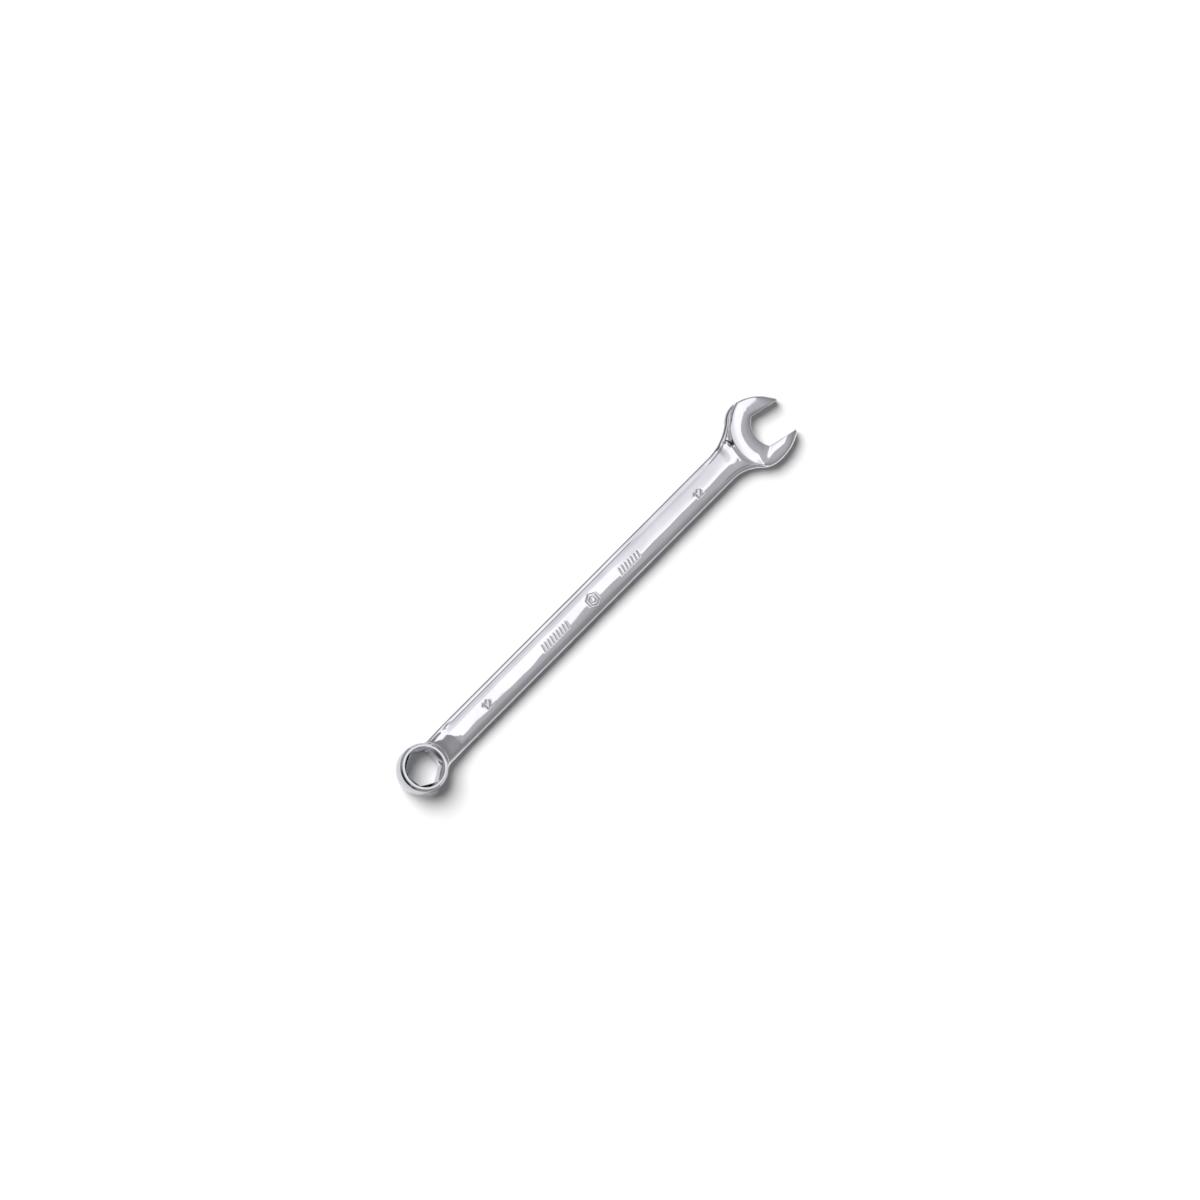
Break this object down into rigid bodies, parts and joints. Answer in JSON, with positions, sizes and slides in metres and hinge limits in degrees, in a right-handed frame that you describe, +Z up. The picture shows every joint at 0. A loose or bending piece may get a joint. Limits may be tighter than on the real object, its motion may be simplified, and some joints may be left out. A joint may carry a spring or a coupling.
{
  "type": "combination wrench",
  "caption": "Chrome-plated combination wrench: a flat handle with a leaning ring and hexagon socket at one end and open jaws turned off its line at the other.",
  "frame": {"origin": "on the surface that the wrench lies on, under the middle of its overall length and width", "axes": "+X along the handle towards the open jaws, +Y to the side of the longer jaw, +Z up, out of the face that carries the ring's raised end"},
  "size_m": [0.1886, 0.0258, 0.0127],
  "materials": {
    "ring_chrome": "polished nickel-chrome plate over forged steel",
    "shank_chrome": "polished nickel-chrome plate over forged steel, size marks pressed in",
    "head_chrome": "polished nickel-chrome plate over forged steel"
  },
  "bodies": {
    "root": {"box_end_ring": "ring_chrome", "shank": "shank_chrome", "open_end_head": "head_chrome"}
  },
  "joints": []
}
